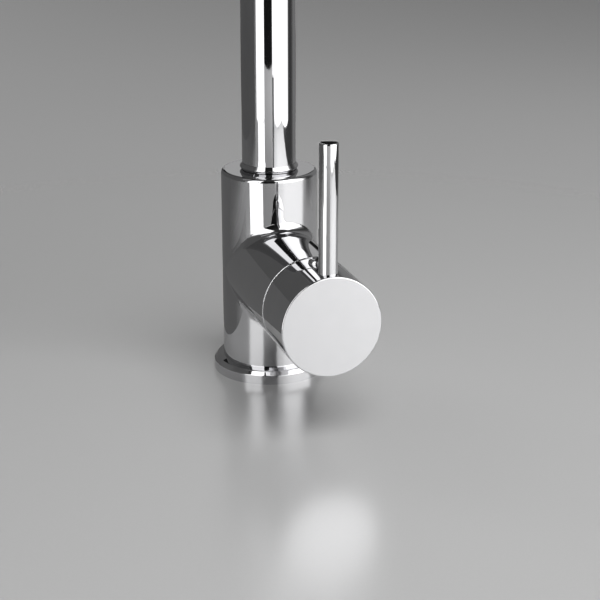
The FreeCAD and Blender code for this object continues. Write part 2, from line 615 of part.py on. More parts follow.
def make_handle_cap():
    """Handle cap: thin rim at the seam, hub on the stem, boss for the lever and a flat polished end."""
    rim = f"({SIDE_RADIUS} - Sizes.cap_rim_wall)"
    taper_end = f"({CAP_START} + Sizes.cap_rim_depth)"
    hub_start = f"({CAP_START} + Sizes.hub_setback)"
    cavity_end = f"({CAP_END} - Sizes.cap_end_wall)"
    socket_end = f"({PIVOT} + Sizes.stem_reach)"
    stem_bore = "(Sizes.stem_radius + Sizes.slip_clearance)"
    corners = [
        (hub_start, stem_bore),
        (socket_end, stem_bore),
        (socket_end, "0"),
        (CAP_END, "0"),
        (CAP_END, SIDE_RADIUS),
        (CAP_START, SIDE_RADIUS),
        (CAP_START, rim),
        (taper_end, CAP_INNER),
        (cavity_end, CAP_INNER),
        (cavity_end, "Sizes.hub_radius"),
        (hub_start, "Sizes.hub_radius"),
    ]
    body = turned_piece("handle_cap", corners, "H_Axis", "Sizes.axis_height")
    round_edges(body, "end_edge", "Sizes.cap_edge", ring_edge(SIDE_RADIUS, CAP_END, "x"))
    round_edges(body, "seam_edge", "Sizes.seam_round", ring_edge(SIDE_RADIUS, CAP_START, "x"))
    rod(body, "lever_boss", "Sizes.lever_boss_radius", f"{CAP_INNER} + Sizes.cap_wall / 2", (LEVER_X, "0", "0"),
        "+Z")
    seat = f"({SIDE_RADIUS} - Sizes.lever_seat)"
    drill(body, "lever_bore", "Sizes.lever_radius + Sizes.slip_clearance", "Sizes.lever_radius + Sizes.lever_seat",
          (LEVER_X, "0", seat), "+Z")
    drill(body, "lever_thread", "Sizes.lever_stud_radius + Sizes.slip_clearance", "Sizes.lever_stud_length",
          (LEVER_X, "0", seat), "-Z")
    drill(body, "grub_bore", "Sizes.grub_radius + Sizes.slip_clearance", SIDE_RADIUS,
          (GRUB_X, "0", "0"), "+Z")
    drill(body, "plug_seat", "Sizes.plug_radius + Sizes.slip_clearance", "Sizes.plug_radius",
          (GRUB_X, "0", f"{SIDE_RADIUS} - Sizes.plug_seat"), "+Z")


def make_lever_rod():
    """Upright lever rod with a chamfered top and a threaded foot screwed into the cap."""
    seat = f"({SIDE_RADIUS} - Sizes.lever_seat)"
    top = "(Sizes.lever_top - Sizes.axis_height)"
    body = new_piece("lever_rod", "Sizes.axis_height")
    body.setExpression("Placement.Base.x", LEVER_X)
    corners = [
        ("0", f"{seat} - Sizes.lever_stud_length + Sizes.foot_chamfer"),
        ("Sizes.lever_stud_radius", f"{seat} - Sizes.lever_stud_length + Sizes.foot_chamfer"),
        ("Sizes.lever_stud_radius", seat),
        ("Sizes.lever_radius", seat),
        ("Sizes.lever_radius", f"{top} - Sizes.lever_edge"),
        ("Sizes.lever_radius - Sizes.lever_edge", top),
        ("0", top),
    ]
    turn(body, "lever_turned", corners)


def make_grub_screw():
    """Socket grub screw in the hub that clamps the cap on the stem."""
    body = new_piece("grub_screw", "Sizes.axis_height")
    body.setExpression("Placement.Base.x", GRUB_X)
    tip = "Sizes.stem_radius"
    top = "(Sizes.hub_radius + Sizes.grub_radius)"
    corners = [
        ("0", tip),
        ("Sizes.grub_key", tip),
        ("Sizes.grub_radius", f"{tip} + Sizes.grub_radius - Sizes.grub_key"),
        ("Sizes.grub_radius", top),
        ("Sizes.grub_key", top),
        ("Sizes.grub_key", f"{top} - Sizes.grub_radius"),
        ("0", f"{top} - Sizes.grub_radius"),
    ]
    turn(body, "grub_turned", corners)


def make_grub_plug():
    """Small domed plug that hides the key hole on top of the cap."""
    body = new_piece("grub_plug", "Sizes.axis_height")
    body.setExpression("Placement.Base.x", GRUB_X)
    seat = f"({SIDE_RADIUS} - Sizes.plug_seat)"
    crown = f"({SIDE_RADIUS} + Sizes.plug_proud)"
    corners = [
        ("0", f"{CAP_INNER} + Sizes.foot_chamfer"),
        ("Sizes.grub_radius", f"{CAP_INNER} + Sizes.foot_chamfer"),
        ("Sizes.grub_radius", seat),
        ("Sizes.plug_radius", seat),
        ("Sizes.plug_radius", crown),
        ("0", crown),
    ]
    turn(body, "plug_turned", corners)
    round_edges(body, "plug_dome", "Sizes.plug_dome", ring_edge("Sizes.plug_radius", crown))


def make_spout_tube():
    """Swan neck tube: upright, a half circle and a short drop to the outlet."""
    body = new_piece("spout_tube")
    path = new_sketch(body, "spout_path", "YZ_Plane")
    foot = value(SPOUT_FOOT)
    start = value("Sizes.bend_start")
    bend = value("Sizes.bend_radius")
    drop = value("Sizes.drop_length")
    path.addGeometry(Part.LineSegment(FreeCAD.Vector(0, foot, 0), FreeCAD.Vector(0, start, 0)), False)
    circle = Part.Circle(FreeCAD.Vector(-bend, start, 0), FreeCAD.Vector(0, 0, 1), bend)
    path.addGeometry(Part.ArcOfCircle(circle, 0, math.pi), False)
    end = FreeCAD.Vector(-2 * bend, start - drop, 0)
    path.addGeometry(Part.LineSegment(FreeCAD.Vector(-2 * bend, start, 0), end), False)
    path.addConstraint(Sketcher.Constraint("Vertical", 0))
    path.addConstraint(Sketcher.Constraint("Vertical", 2))
    path.addConstraint(Sketcher.Constraint("Tangent", 0, 2, 1, 1))
    path.addConstraint(Sketcher.Constraint("Tangent", 1, 2, 2, 1))
    path.addConstraint(Sketcher.Constraint("PointOnObject", 0, 1, -2))
    rules = [
        (Sketcher.Constraint("DistanceY", -1, 1, 0, 1, foot), SPOUT_FOOT),
        (Sketcher.Constraint("DistanceY", -1, 1, 0, 2, start), "Sizes.bend_start"),
        (Sketcher.Constraint("Radius", 1, bend), "Sizes.bend_radius"),
        (Sketcher.Constraint("DistanceY", 2, 2, 2, 1, drop), "Sizes.drop_length"),
    ]
    for rule, text in rules:
        index = path.addConstraint(rule)
        path.setExpression(f"Constraints[{index}]", text)
    section = new_sketch(body, "spout_section", "XY_Plane")
    section.setExpression("AttachmentOffset.Base.z", SPOUT_FOOT)
    for i, text in enumerate(("Sizes.tube_radius", TUBE_INNER)):
        ring = Part.Circle(FreeCAD.Vector(), FreeCAD.Vector(0, 0, 1), value(text))
        section.addGeometry(ring, False)
        section.addConstraint(Sketcher.Constraint("Coincident", i, 3, -1, 1))
        index = section.addConstraint(Sketcher.Constraint("Radius", i, value(text)))
        section.setExpression(f"Constraints[{index}]", text)
    tube = body.newObject("PartDesign::AdditivePipe", "swan_neck")
    tube.Profile = section
    tube.Spine = (path, ["Edge1", "Edge2", "Edge3"])
    path.Visibility = False
    section.Visibility = False


def make_spout_collar():
    """Narrow bead-shaped ring at the foot of the spout tube."""
    inner = "Sizes.tube_radius + Sizes.slip_clearance"
    top = f"({SPOUT_FOOT} + Sizes.collar_height)"
    middle = f"({SPOUT_FOOT} + Sizes.collar_middle)"
    corners = [
        (inner, SPOUT_FOOT),
        ("Sizes.collar_edge_radius", SPOUT_FOOT),
        ("Sizes.collar_radius", middle),
        ("Sizes.collar_edge_radius", top),
        (inner, top),
    ]
    collar = turned_piece("spout_collar", corners)
    round_edges(collar, "collar_bead", "Sizes.collar_round", ring_edge("Sizes.collar_radius", middle))


def make_spout_ferrule():
    """Brass ferrule fixed in the tube, with two seal grooves and the groove for the lock screw."""
    groove = "(Sizes.oring_groove / 2)"
    groove_floor = f"({FERRULE_RADIUS} - 2 * Sizes.oring_radius - Sizes.slip_clearance)"
    foot = f"({SOCKET_FLOOR} + Sizes.ferrule_clear)"
    lock = f"({SOCKET_FLOOR} + Sizes.lock_height)"
    lock_half = "(Sizes.lock_tip_radius + Sizes.guide_clearance)"
    lock_floor = f"({FERRULE_RADIUS} - Sizes.lock_groove_depth)"
    low = f"({SOCKET_FLOOR} + Sizes.oring_low)"
    high = f"({SOCKET_FLOOR} + Sizes.oring_high)"
    tube_fit = f"({TUBE_INNER} - Sizes.slip_clearance)"
    corners = [("Sizes.ferrule_bore", foot), (FERRULE_RADIUS, foot)]
    for middle, half, floor in ((lock, lock_half, lock_floor), (low, groove, groove_floor),
                                (high, groove, groove_floor)):
        corners += [
            (FERRULE_RADIUS, f"{middle} - {half}"),
            (floor, f"{middle} - {half}"),
            (floor, f"{middle} + {half}"),
            (FERRULE_RADIUS, f"{middle} + {half}"),
        ]
    corners += [
        (FERRULE_RADIUS, SPOUT_FOOT),
        (tube_fit, SPOUT_FOOT),
        (tube_fit, f"{SPOUT_FOOT} + Sizes.ferrule_rise"),
        ("Sizes.ferrule_bore", f"{SPOUT_FOOT} + Sizes.ferrule_rise"),
    ]
    turned_piece("spout_ferrule", corners)


def make_spout_seals():
    """Two rubber rings on the ferrule, one node; each has an eight-sided section."""
    middle = f"({FERRULE_RADIUS} - Sizes.oring_radius - Sizes.slip_clearance / 2)"
    rings = []
    for name, level in (("lower", "Sizes.oring_low"), ("upper", "Sizes.oring_high")):
        corners = []
        for step in range(SEAL_SIDES):
            turn_angle = math.radians((step + 0.5) * 360 / SEAL_SIDES)
            across = f"{middle} + Sizes.oring_radius * {math.cos(turn_angle):.6f}"
            along = f"{SOCKET_FLOOR} + {level} + Sizes.oring_radius * {math.sin(turn_angle):.6f}"
            corners.append((across, along))
        section = doc.addObject("Sketcher::SketchObject", f"{name}_seal_section")
        section.Placement = FreeCAD.Placement(FreeCAD.Vector(), FreeCAD.Rotation(FreeCAD.Vector(1, 0, 0), 90))
        draw_outline(section, corners)
        ring = doc.addObject("Part::Revolution", f"{name}_spout_seal")
        ring.Source = section
        ring.Axis = FreeCAD.Vector(0, 0, 1)
        ring.Angle = 360
        ring.Solid = True
        rings.append(ring)
    seals = doc.addObject("Part::Compound", "spout_seals")
    seals.Label = "spout_seals"
    seals.Links = rings
    pieces.append(seals)


def make_spout_bearing():
    """Plastic bearing in the mouth of the socket that steadies the ferrule."""
    low = "(Sizes.body_height - Sizes.slip_ring_height)"
    outline = tube_outline("Sizes.socket_radius", "Sizes.socket_radius + Sizes.slip_ring_wall", low,
                           "Sizes.body_height")
    turned_piece("spout_bearing", outline)


def make_lock_screw():
    """Screw in the back of the body whose tip keeps the spout from lifting."""
    tip = f"({FERRULE_RADIUS} - Sizes.lock_groove_depth + Sizes.guide_clearance)"
    shoulder = "(Sizes.socket_radius + Sizes.guide_clearance)"
    head = "(Sizes.body_radius - Sizes.guide_clearance)"
    body = new_piece("spout_lock_screw", f"{SOCKET_FLOOR} + Sizes.lock_height")
    sketch = new_sketch(body, "lock_outline", "XY_Plane")
    draw_outline(sketch, [
        ("0", tip),
        ("Sizes.lock_tip_radius", tip),
        ("Sizes.lock_tip_radius", shoulder),
        ("Sizes.lock_radius", shoulder),
        ("Sizes.lock_radius", head),
        ("Sizes.lock_key", head),
        ("Sizes.lock_key", f"{head} - Sizes.lock_radius"),
        ("0", f"{head} - Sizes.lock_radius"),
    ])
    form = body.newObject("PartDesign::Revolution", "lock_turned")
    form.Profile = sketch
    form.ReferenceAxis = (sketch, ["V_Axis"])
    form.Angle = 360
    sketch.Visibility = False


def at_outlet(body):
    """Move a piece from the body axis to the axis of the outlet."""
    body.setExpression("Placement.Base.y", f"-{SPOUT_REACH}")


def make_aerator_housing():
    """Screw-in ring that holds the jet insert; its lower part shows below the tube."""
    low = f"({TUBE_END} - Sizes.aerator_ring_height)"
    high = f"({TUBE_END} + Sizes.aerator_shank)"
    shank = f"({TUBE_INNER} - Sizes.slip_clearance)"
    corners = [
        ("Sizes.aerator_mouth", low),
        ("Sizes.tube_radius - Sizes.lever_edge", low),
        ("Sizes.tube_radius", f"{low} + Sizes.lever_edge"),
        ("Sizes.tube_radius", f"{TUBE_END} - Sizes.swivel_gap"),
        (shank, f"{TUBE_END} - Sizes.swivel_gap"),
        (shank, high),
        ("Sizes.aerator_bore", high),
        ("Sizes.aerator_bore", f"{low} + Sizes.aerator_lip"),
        ("Sizes.aerator_mouth", f"{low} + Sizes.aerator_lip"),
    ]
    at_outlet(turned_piece("aerator_housing", corners))


def make_aerator_insert():
    """Plastic jet insert with a centre jet and two rings of jets."""
    low = f"({TUBE_END} - Sizes.aerator_ring_height + Sizes.aerator_lip)"
    outline = tube_outline("0", "Sizes.aerator_bore - Sizes.slip_clearance", low, f"{low} + Sizes.insert_height")
    body = turned_piece("aerator_insert", outline)
    at_outlet(body)
    drill(body, "middle_jet", "Sizes.jet_radius", "Sizes.insert_height", ("0", "0", low), "+Z")
    inner = drill(body, "inner_jet", "Sizes.jet_radius", "Sizes.insert_height", ("Sizes.jet_ring", "0", low), "+Z")
    ring_pattern(body, "inner_jets", inner, INNER_JET_COUNT, "Z_Axis")
    outer = drill(body, "outer_jet", "Sizes.jet_radius", "Sizes.insert_height",
                  ("2 * Sizes.jet_ring", "0", low), "+Z")
    ring_pattern(body, "outer_jets", outer, OUTER_JET_COUNT, "Z_Axis")


def make_aerator_seal():
    """Rubber washer that lies on the insert in the bore of the housing."""
    low = f"({TUBE_END} - Sizes.aerator_ring_height + Sizes.aerator_lip + Sizes.insert_height)"
    outline = tube_outline("Sizes.aerator_mouth", "Sizes.aerator_bore - Sizes.slip_clearance", low,
                           f"{low} + Sizes.seal_height")
    at_outlet(turned_piece("aerator_seal", outline))


for make in (
    make_mixer_body, make_base_ring, make_base_gasket, make_cartridge_base, make_port_seals,
    make_cartridge_shell, make_fixed_disc, make_moving_disc, make_disc_slider, make_cartridge_carrier,
    make_tilt_pin, make_cartridge_nut, make_handle_stem, make_handle_cap, make_lever_rod, make_grub_screw,
    make_grub_plug, make_spout_tube, make_spout_collar, make_spout_ferrule, make_spout_seals,
    make_spout_bearing, make_lock_screw, make_aerator_housing, make_aerator_insert, make_aerator_seal,
):
    make()
doc.recompute()

failed = [item.Name for item in doc.Objects if "Invalid" in item.State or "Error" in item.State]
if failed:
    raise RuntimeError("objects that failed: " + ", ".join(failed))
for piece in pieces:
    if piece.Shape.isNull() or not piece.Shape.isValid():
        raise RuntimeError("no valid solid in " + piece.Label)

os.makedirs("parts", exist_ok=True)
for piece in pieces:
    piece.Shape.exportStep(os.path.join("parts", piece.Label + ".step"))
    print(f"{piece.Label}: {len(piece.Shape.Solids)} solid, {piece.Shape.Volume:.1f} mm3")
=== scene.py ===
# %% [markdown]
# # A kitchen sink mixer in polished chrome
# The CAD model already holds every solid of the mixer. This lesson dresses it: a finish for each metal,
# plastic and rubber, five pieces with fine detail that their solids lack, such as threads, key sockets
# and softened edges, and a room for the chrome to mirror.

# %% Load the frame
import json
import math

import bmesh
import bpy
from mathutils import Matrix, Vector


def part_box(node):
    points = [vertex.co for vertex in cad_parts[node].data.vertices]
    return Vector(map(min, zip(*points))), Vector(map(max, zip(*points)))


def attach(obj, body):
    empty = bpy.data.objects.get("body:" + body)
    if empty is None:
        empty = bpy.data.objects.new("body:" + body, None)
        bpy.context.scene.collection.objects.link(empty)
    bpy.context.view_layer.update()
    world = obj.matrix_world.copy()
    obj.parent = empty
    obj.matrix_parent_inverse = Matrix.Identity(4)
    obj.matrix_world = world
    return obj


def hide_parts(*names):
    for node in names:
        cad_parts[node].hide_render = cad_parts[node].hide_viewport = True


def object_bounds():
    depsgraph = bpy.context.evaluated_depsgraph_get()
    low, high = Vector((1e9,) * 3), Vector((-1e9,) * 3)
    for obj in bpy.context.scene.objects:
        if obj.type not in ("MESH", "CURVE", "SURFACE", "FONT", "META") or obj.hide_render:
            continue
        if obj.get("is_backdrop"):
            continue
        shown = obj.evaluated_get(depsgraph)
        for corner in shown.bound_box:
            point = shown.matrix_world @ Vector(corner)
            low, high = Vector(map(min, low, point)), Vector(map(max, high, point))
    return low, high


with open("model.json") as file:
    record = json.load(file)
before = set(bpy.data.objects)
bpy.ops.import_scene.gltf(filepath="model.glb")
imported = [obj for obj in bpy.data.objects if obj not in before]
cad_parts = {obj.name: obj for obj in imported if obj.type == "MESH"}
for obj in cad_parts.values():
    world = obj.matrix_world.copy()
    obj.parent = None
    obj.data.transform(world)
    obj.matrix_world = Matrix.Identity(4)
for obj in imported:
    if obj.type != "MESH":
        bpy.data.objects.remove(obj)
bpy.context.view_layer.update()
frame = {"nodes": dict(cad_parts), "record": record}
nodes = frame["nodes"]
scene = bpy.context.scene
scene.view_settings.view_transform = "Standard"
print("CAD nodes:", len(nodes))

# %% [markdown]
# ## The camera
# The photograph was taken with a long lens, from in front of the handle and a little above it. A long
# lens keeps the upright tube nearly parallel, so the camera stands far off and looks down about 19
# degrees. Its place comes from matching the edges of the CAD model to the edges in the photograph.

# %% Camera
CAMERA_PLACE = Vector((0.7263, -0.2159, 0.3007))
CAMERA_LOOKS = Vector((-0.89921, 0.28829, -0.32911))
LENS = 89.71
FILM_WIDTH = 36
NEAREST, FARTHEST = 0.01, 50

camera_data = bpy.data.cameras.new("camera")
camera_data.lens = LENS
camera_data.sensor_width = FILM_WIDTH
camera_data.clip_start = NEAREST
camera_data.clip_end = FARTHEST
camera = bpy.data.objects.new("camera", camera_data)
camera.location = CAMERA_PLACE
camera.rotation_mode = "QUATERNION"
camera.rotation_quaternion = CAMERA_LOOKS.to_track_quat("-Z", "Y")
scene.collection.objects.link(camera)
scene.camera = camera
looks_down = math.degrees(math.asin(-CAMERA_LOOKS.z / CAMERA_LOOKS.length))
print("camera looks down by", round(looks_down, 1), "degrees")

# %% [markdown]
# ## Shader sums as sums
# A roughness that is a little higher where a noise is strong is a sum, and it reads best written as
# one. The class below wraps a socket, so that `0.02 + 0.03 * smudges` adds the two Math nodes by itself.

# %% Shader sums


class Shade:
    """A node's socket that takes part in sums like a number."""

    def __init__(self, tree, socket):
        self.tree = tree
        self.socket = socket

    def maths(self, operation, other):
        node = self.tree.nodes.new("ShaderNodeMath")
        node.operation = operation
        for slot, item in zip(node.inputs, (self, other)):
            if isinstance(item, Shade):
                self.tree.links.new(item.socket, slot)
            else:
                slot.default_value = item
        return Shade(self.tree, node.outputs[0])

    def __add__(self, other):
        return self.maths("ADD", other)

    def __mul__(self, other):
        return self.maths("MULTIPLY", other)

    __radd__ = __add__
    __rmul__ = __mul__

    def __sub__(self, other):
        return self.maths("SUBTRACT", other)

    def __rsub__(self, other):
        return (self * -1) + other

    def __lt__(self, other):
        return self.maths("LESS_THAN", other)

    def __gt__(self, other):
        return self.maths("GREATER_THAN", other)


trial_tree = bpy.data.node_groups.new("trial", "ShaderNodeTree")
smudges = Shade(trial_tree, trial_tree.nodes.new("ShaderNodeValue").outputs[0])
trial_sum = 0.02 + 0.03 * smudges
print("0.02 + 0.03 * smudges ends in a Math node that does", trial_sum.socket.node.operation)
bpy.data.node_groups.remove(trial_tree)

# %% [markdown]
# ## A finish is one shader and what varies over it
# Every material here is one Principled shader. What is the same all over is set on its own socket;
# what changes from place to place is fed by nodes that read the object's own coordinates, in metres,
# so a scratch or a grain has its real size on every piece.

# %% Finishes


class Finish:
    """A material: one Principled shader, and short ways to add nodes to it."""

    def __init__(self, name, color, roughness, metallic=0.0, **sockets):
        self.material = bpy.data.materials.new(name)
        self.material.use_nodes = True
        self.tree = self.material.node_tree
        self.shader = self.tree.nodes["Principled BSDF"]
        self.color = color
        self.shader.inputs["Base Color"].default_value = (*color, 1)
        self.shader.inputs["Roughness"].default_value = roughness
        self.shader.inputs["Metallic"].default_value = metallic
        for socket, amount in sockets.items():
            self.shader.inputs[socket.replace("_", " ")].default_value = amount

    def node(self, kind, settings=None, output=None, **sockets):
        """Add a node: its settings first, then its sockets, which take values or other shades."""
        made = self.tree.nodes.new("ShaderNode" + kind)
        for setting, amount in (settings or {}).items():
            setattr(made, setting, amount)
        for key, amount in sockets.items():
            name = key.replace("_", " ")
            slot = next(s for s in made.inputs if s.enabled and s.name == name)
            if isinstance(amount, Shade):
                self.tree.links.new(amount.socket, slot)
            else:
                slot.default_value = amount
        open_outputs = [s for s in made.outputs if s.enabled]
        chosen = next((s for s in open_outputs if s.name == output), open_outputs[0])
        return Shade(self.tree, chosen)

    def feed(self, socket, shade):
        self.tree.links.new(shade.socket, self.shader.inputs[socket])

    def place(self):
        """Where a point is on the piece, in metres."""
        return self.node("TexCoord", output="Object")

    def axes(self):
        """The three coordinates of a point, as shades of their own."""
        place = self.place()
        return [self.node("SeparateXYZ", output=letter, Vector=place) for letter in "XYZ"]

    def length(self, vector):
        """How long a vector is, such as the one from an axis to a point."""
        return self.node("VectorMath", {"operation": "LENGTH"}, output="Value", Vector=vector)

    def noise(self, scale, detail=2.0, stretch=(1, 1, 1)):
        """Soft noise from 0 to 1; stretch packs it more tightly along an axis."""
        where = self.node("Mapping", Vector=self.place(), Scale=stretch)
        return self.node("TexNoise", output="Fac", Vector=where, Scale=scale, Detail=detail)

    def spread(self, shade, low, high, to_low=0.0, to_high=1.0):
        """Turn the range low to high of a shade into another range, with soft ends."""
        return self.node("MapRange", {"interpolation_type": "SMOOTHSTEP"}, Value=shade, From_Min=low,
                         From_Max=high, To_Min=to_low, To_Max=to_high)

    def blend(self, factor, one, other):
        """A blend of two colours, each of them fixed or a shade."""
        first, second = [end if isinstance(end, Shade) else (*end, 1) for end in (one, other)]
        return self.node("Mix", {"data_type": "RGBA"}, Factor=factor, A=first, B=second)

    def tint(self, factor, other):
        """Feed the base colour with a blend from the finish's own colour to another one."""
        self.feed("Base Color", self.blend(factor, self.color, other))

    def relief(self, height, depth):
        """Raise the surface by a shade, whose 0 to 1 stands for a depth in metres."""
        self.feed("Normal", self.node("Bump", Height=height, Distance=depth, Strength=1.0))


print("shader ready:", Finish("trial", (0.5, 0.5, 0.5), 0.4).material.name)
bpy.data.materials.remove(bpy.data.materials["trial"])

# %% [markdown]
# ## Polished chrome
# Chrome plate is a mirror of middle grey. It never is a perfect one: the brass under it was polished
# by hand on a soft wheel, which leaves waves of some ten micrometres, and wiping leaves faint smears.
# The waves bend the reflections a little, and the smears go into the colour and the roughness.

# %% Polished chrome
CHROME = (0.64, 0.64, 0.65)
CHROME_DULL = (0.60, 0.60, 0.61)
WAVES_PER_METRE = 34
WAVE_DEPTH = 9e-6
SMEARS_PER_METRE = 120
SMEARS_DRAWN_UP = (1, 1, 0.35)


def waved(name):
    """A mirror with the soft waves of the polishing wheel."""
    finish = Finish(name, CHROME, 0.03, 1.0)
    finish.relief(finish.noise(WAVES_PER_METRE, detail=1.0), WAVE_DEPTH)
    return finish


def chromed(name):
    """Chrome with wheel waves and faint smears."""
    finish = waved(name)
    smears = finish.noise(SMEARS_PER_METRE, detail=4.0, stretch=SMEARS_DRAWN_UP)
    haze = finish.noise(900, detail=2.0)
    finish.feed("Roughness", 0.018 + 0.03 * finish.spread(smears, 0.45, 0.75) + 0.012 * haze)
    finish.tint(finish.spread(smears, 0.4, 0.8), CHROME_DULL)
    return finish


chrome = chromed("polished_chrome")
print("chrome:", chrome.material.name, "with", len(chrome.tree.nodes), "nodes")

# %% [markdown]
# ## Bare brass inside the chrome
# The plating bath doesn't reach deep bores, so inside the body and the handle cap the bare brass shows.
# The solids could be split at the edge of the plating, but one piece of metal is better as one mesh, so
# a mask of round bores tells the inside from the outside, and the finish blends by it.

# %% Bare brass inside
BRASS = (0.72, 0.55, 0.28)
BRASS_DARK = (0.60, 0.42, 0.19)
AXIS_HEIGHT = 0.057
UPRIGHT_BORE = 0.0243
UPRIGHT_MOUTH = 0.109
HOUSING_BORE = 0.024
HOUSING_ENDS = (0.0195, 0.0698)
CAP_BORE = 0.0238
CAP_ENDS = (0.0722, 0.102)


def brass_inside(finish, inside):
    """Smeared chrome outside, and bare brass wherever the mask says that the plating didn't reach."""
    plate = finish.blend(finish.noise(SMEARS_PER_METRE, detail=4.0), CHROME, CHROME_DULL)
    grain = finish.noise(420, detail=3.0)
    bare = finish.blend(grain, BRASS, BRASS_DARK)
    finish.feed("Base Color", finish.blend(inside, plate, bare))
    smears = finish.noise(SMEARS_PER_METRE, detail=4.0, stretch=SMEARS_DRAWN_UP)
    polished = 0.022 + 0.03 * finish.spread(smears, 0.45, 0.75)
    finish.feed("Roughness", polished + inside * (0.25 + 0.2 * grain))


def in_handle_bore(finish, radius, ends):
    """1 inside a round bore along the handle axis, between two places on it, else 0."""
    x, y, z = finish.axes()
    from_axis = finish.length(finish.node("CombineXYZ", X=y, Y=z - AXIS_HEIGHT))
    return (from_axis < radius) * (x > ends[0]) * (x < ends[1])


body_chrome = waved("body_chrome")
x, y, z = body_chrome.axes()
from_upright = body_chrome.length(body_chrome.node("CombineXYZ", X=x, Y=y))
in_upright = (from_upright < UPRIGHT_BORE) * (z < UPRIGHT_MOUTH)
in_housing = in_handle_bore(body_chrome, HOUSING_BORE, HOUSING_ENDS)
brass_inside(body_chrome, in_upright.maths("MAXIMUM", in_housing))

cap_chrome = waved("cap_chrome")
brass_inside(cap_chrome, in_handle_bore(cap_chrome, CAP_BORE, CAP_ENDS))
print("plated outside only:", body_chrome.material.name, cap_chrome.material.name)

# %% [markdown]
# ## Turned brass and steel
# The nut, the ferrule, the stem and the screws come off a lathe, which leaves fine rings round the
# piece. A noise that is packed tightly along the lathe's axis and hardly changes across it gives those
# rings, in colour, roughness and relief. The axis differs from piece to piece, so it is an argument.

# %% Turned metal
STEEL = (0.62, 0.62, 0.61)
STEEL_DARK = (0.45, 0.45, 0.45)
ALONG = {"X": (40, 0.6, 0.6), "Y": (0.6, 40, 0.6), "Z": (0.6, 0.6, 40)}
TOOL_MARK_DEPTH = 8e-6


def lathe_turned(name, color, shadow, axis, roughness):
    """Metal with the rings that a lathe tool leaves round an axis, and a few stains."""
    finish = Finish(name, color, roughness, 1.0)
    rings = finish.noise(60, detail=3.0, stretch=ALONG[axis])
    stains = finish.noise(160, detail=3.0)
    finish.tint(finish.spread(rings * 0.6 + stains * 0.4, 0.35, 0.7), shadow)
    finish.feed("Roughness", roughness + 0.12 * rings + 0.08 * stains)
    finish.relief(rings, TOOL_MARK_DEPTH)
    return finish


turned_finishes = {
    "cartridge_nut": lathe_turned("nut_brass", BRASS, BRASS_DARK, "X", 0.2),
    "spout_ferrule": lathe_turned("ferrule_brass", BRASS, BRASS_DARK, "Z", 0.2),
    "handle_stem": lathe_turned("stem_steel", STEEL, STEEL_DARK, "X", 0.22),
    "tilt_pin": lathe_turned("pin_steel", STEEL, STEEL_DARK, "Y", 0.16),
    "grub_screw": lathe_turned("grub_steel", STEEL, STEEL_DARK, "Z", 0.25),
    "spout_lock_screw": lathe_turned("lock_screw_steel", STEEL, STEEL_DARK, "Y", 0.25),
}
print("turned finishes:", len(turned_finishes))

# %% [markdown]
# ## Plastic, rubber and ceramic
# Moulded acetal is slightly waxy: even in colour, with a fine sparked grain from the mould. Rubber is
# nearly black and dull, with a bloom of wax in places. The two sealing discs are lapped alumina, so
# flat and smooth that they stick together when wet, with only the faintest clouding. All of them are
# clouds and a grain over one colour, so one function with a size and a depth of grain makes them.

# %% Moulded and lapped materials
RUBBER_GRAIN = (4e-4, 1.5e-5)
ACETAL_GRAIN = (3e-4, 8e-6)
LAPPED_GRAIN = (2e-4, 1e-6)


def moulded(name, color, shadow, roughness, grain, **sockets):
    """A plain colour with soft clouds, and a grain of a size and a depth in metres."""
    grain_size, grain_depth = grain
    finish = Finish(name, color, roughness, **sockets)
    clouds = finish.noise(90, detail=2.0)
    pits = finish.noise(1 / grain_size, detail=2.0)
    finish.tint(finish.spread(clouds, 0.35, 0.75), shadow)
    finish.feed("Roughness", roughness + 0.1 * (pits - 0.5) + 0.08 * (clouds - 0.5))
    finish.relief(pits, grain_depth)
    return finish


slot_finishes = {
    "polished_chrome": chrome,
    "raw_brass": turned_finishes["cartridge_nut"],
    "stainless_steel": turned_finishes["handle_stem"],
    "black_rubber": moulded("black_rubber", (0.03, 0.03, 0.03), (0.055, 0.055, 0.053), 0.62,
                            RUBBER_GRAIN),
    "cartridge_plastic": moulded("white_acetal", (0.78, 0.78, 0.76), (0.73, 0.73, 0.70), 0.42,
                                 ACETAL_GRAIN, Specular_IOR_Level=0.45),
    "slider_plastic": moulded("blue_acetal", (0.16, 0.30, 0.50), (0.13, 0.25, 0.44), 0.4,
                              ACETAL_GRAIN),
    "disc_ceramic": moulded("alumina", (0.88, 0.87, 0.84), (0.84, 0.83, 0.79), 0.16, LAPPED_GRAIN,
                            IOR=1.7),
    "jet_plastic": moulded("grey_jet_plastic", (0.42, 0.43, 0.44), (0.36, 0.37, 0.38), 0.45,
                           ACETAL_GRAIN),
}
print("finishes by slot:", len(slot_finishes))

# %% [markdown]
# ## Every solid gets its finish
# A solid whose shape is right stays as the CAD model made it, and only its material is exchanged. Most
# take the finish of their slot; the turned metals and the two pieces with bare bores have their own.

# %% Finishes on the solids
own_finishes = {**turned_finishes, "mixer_body": body_chrome, "handle_cap": cap_chrome}
for subpart in frame["record"]["subparts"]:
    name, slot = subpart["node"], subpart["material_slot"]
    finish = own_finishes.get(name, slot_finishes[slot])
    nodes[name].data.materials.clear()
    nodes[name].data.materials.append(finish.material)
    print(name, "gets", finish.material.name)

# %% [markdown]
# ## Turning in mesh code
# Screws, seals and the lever are lathe work, so they start as a profile that the spin operator turns
# once round the Z axis. Rounded edges are arcs in that profile, which is simpler than a bevel that has
# to find the right edges afterwards.

# %% Lathe helpers
TOUCH = 1e-6


